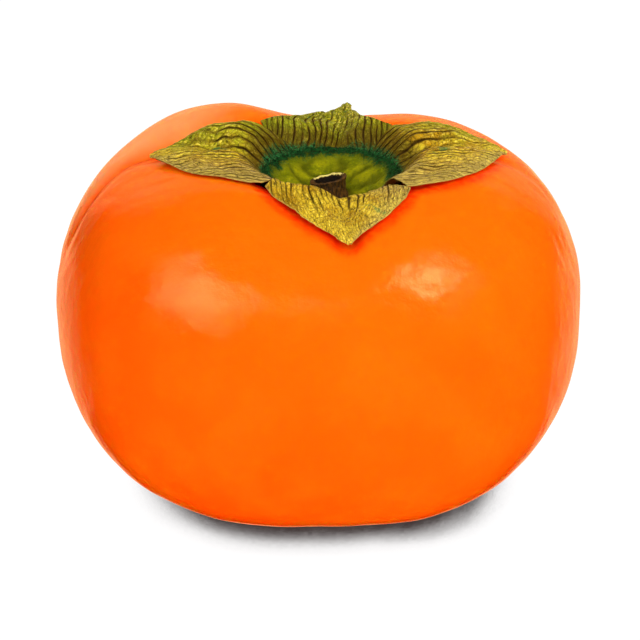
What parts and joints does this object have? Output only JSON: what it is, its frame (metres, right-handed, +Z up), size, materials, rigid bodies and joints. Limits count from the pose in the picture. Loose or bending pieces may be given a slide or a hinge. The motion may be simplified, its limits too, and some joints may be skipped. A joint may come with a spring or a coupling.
{
  "type": "persimmon",
  "caption": "Ripe squat persimmon with softly lobed flesh and a dried leafy calyx spread round a short stem stub; stands by itself on the small flat spot of its base.",
  "frame": {"origin": "middle of the small flat spot the fruit rests on", "axes": "+Z up through the fruit's core towards the calyx; the front, where the lowest sepal tip hangs, faces -Y; +X to the right"},
  "size_m": [0.08, 0.076, 0.0562],
  "materials": {
    "fruit": "smooth waxy orange skin with a soft sheen, a little yellower on top and redder below",
    "calyx_disc": "wrinkled yellow-green, with a granular blue-green ring round the rim",
    "sepal": "dry olive and straw yellow, dull, with fine brown lengthwise veins",
    "stem_stub": "dark brown, dry and torn at the top"
  },
  "bodies": {
    "root": {"fruit": "fruit", "calyx_disc": "calyx_disc", "sepal_front": "sepal", "sepal_right": "sepal", "sepal_back": "sepal", "sepal_left": "sepal", "stem_stub": "stem_stub"}
  },
  "joints": []
}
